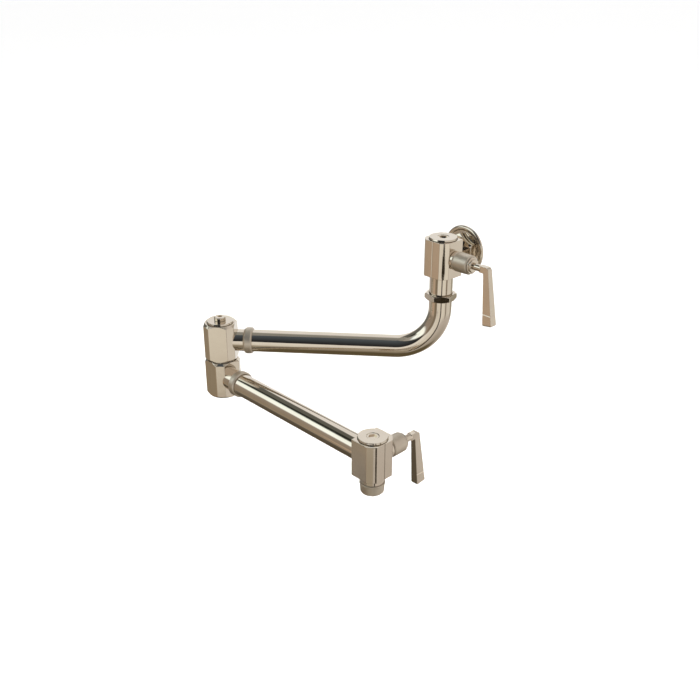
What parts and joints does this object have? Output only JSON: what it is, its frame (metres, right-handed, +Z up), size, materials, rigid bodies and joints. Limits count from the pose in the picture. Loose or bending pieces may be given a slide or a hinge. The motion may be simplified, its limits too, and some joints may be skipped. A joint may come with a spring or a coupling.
{
  "type": "wall mounted pot filler",
  "caption": "Wall mounted swing-arm tap with jointed tube arms, a quarter-turn lever valve at the wall and another over the spout.",
  "frame": {"origin": "on the wall face, at the centre of the supply connection", "axes": "+Z up, +Y into the wall, +X to the right when facing the wall; the bonnet of the wall valve points along +X"},
  "size_m": [0.2834, 0.2191, 0.2392],
  "materials": {
    "polished_nickel": "polished warm nickel plate",
    "knurled_nickel": "fine diamond knurl, nickel plated",
    "brass": "machined, unplated",
    "spring_steel": "plain steel",
    "ceramic": "lapped ceramic",
    "rubber": "black sealing rubber",
    "white_plastic": "moulded, matt"
  },
  "bodies": {
    "wall_valve": {"union_nut": "polished_nickel", "union_washer": "rubber", "supply_adapter": "brass", "wall_flange": "polished_nickel", "wall_valve_body": "polished_nickel", "wall_valve_cap": "polished_nickel", "wall_cartridge_seal": "rubber", "wall_cartridge_housing": "brass", "wall_fixed_disc": "ceramic", "wall_bonnet_base_ring": "polished_nickel", "wall_bonnet_sleeve": "knurled_nickel", "wall_gland_nut": "polished_nickel", "swivel_stub": "polished_nickel", "swivel_nut": "polished_nickel"},
    "wall_handle": {"wall_turning_disc": "ceramic", "wall_stem": "polished_nickel", "wall_stem_o_ring": "rubber", "wall_lever": "polished_nickel", "wall_lever_screw": "spring_steel"},
    "upper_arm": {"upper_arm_tube": "polished_nickel", "swivel_spigot": "brass", "swivel_o_ring_1": "rubber", "swivel_o_ring_2": "rubber", "swivel_retaining_ring": "spring_steel", "upper_knuckle_block": "polished_nickel", "upper_arm_collar": "knurled_nickel", "knuckle_cap": "polished_nickel", "knuckle_screw": "polished_nickel"},
    "lower_arm": {"lower_knuckle_block": "polished_nickel", "lower_arm_collar": "knurled_nickel", "knuckle_spindle": "brass", "spindle_o_ring_1": "rubber", "spindle_o_ring_2": "rubber", "knuckle_washer": "white_plastic", "spindle_washer": "spring_steel", "spindle_nut": "brass", "lower_arm_tube": "polished_nickel", "lower_arm_end_plug": "polished_nickel", "spout_valve_body": "polished_nickel", "spout_valve_cap": "polished_nickel", "spout_cartridge_seal": "rubber", "spout_cartridge_housing": "brass", "spout_fixed_disc": "ceramic", "spout_bonnet_base_ring": "polished_nickel", "spout_bonnet_sleeve": "knurled_nickel", "spout_gland_nut": "polished_nickel", "spout_nipple": "polished_nickel", "aerator_washer": "rubber", "aerator_insert": "white_plastic", "aerator_housing": "knurled_nickel"},
    "spout_handle": {"spout_turning_disc": "ceramic", "spout_stem": "polished_nickel", "spout_stem_o_ring": "rubber", "spout_lever": "polished_nickel", "spout_lever_screw": "spring_steel"}
  },
  "joints": [
    {"name": "upper_arm_swing", "type": "hinge", "parent": "wall_valve", "child": "upper_arm", "pos_m": [0, -0.036, 0], "axis": [0, 0, 1], "range_deg": [-41.4, 138.6]},
    {"name": "lower_arm_swing", "type": "hinge", "parent": "upper_arm", "child": "lower_arm", "pos_m": [-0.18498, -0.19908, -0.107], "axis": [0, 0, 1], "continuous": true},
    {"name": "wall_lever_turn", "type": "hinge", "parent": "wall_valve", "child": "wall_handle", "pos_m": [0, -0.036, 0], "axis": [-1, 0, 0], "range_deg": [0, 90]},
    {"name": "spout_lever_turn", "type": "hinge", "parent": "lower_arm", "child": "spout_handle", "pos_m": [0.06162, -0.19908, -0.152], "axis": [0, -1, 0], "range_deg": [0, 90]}
  ]
}
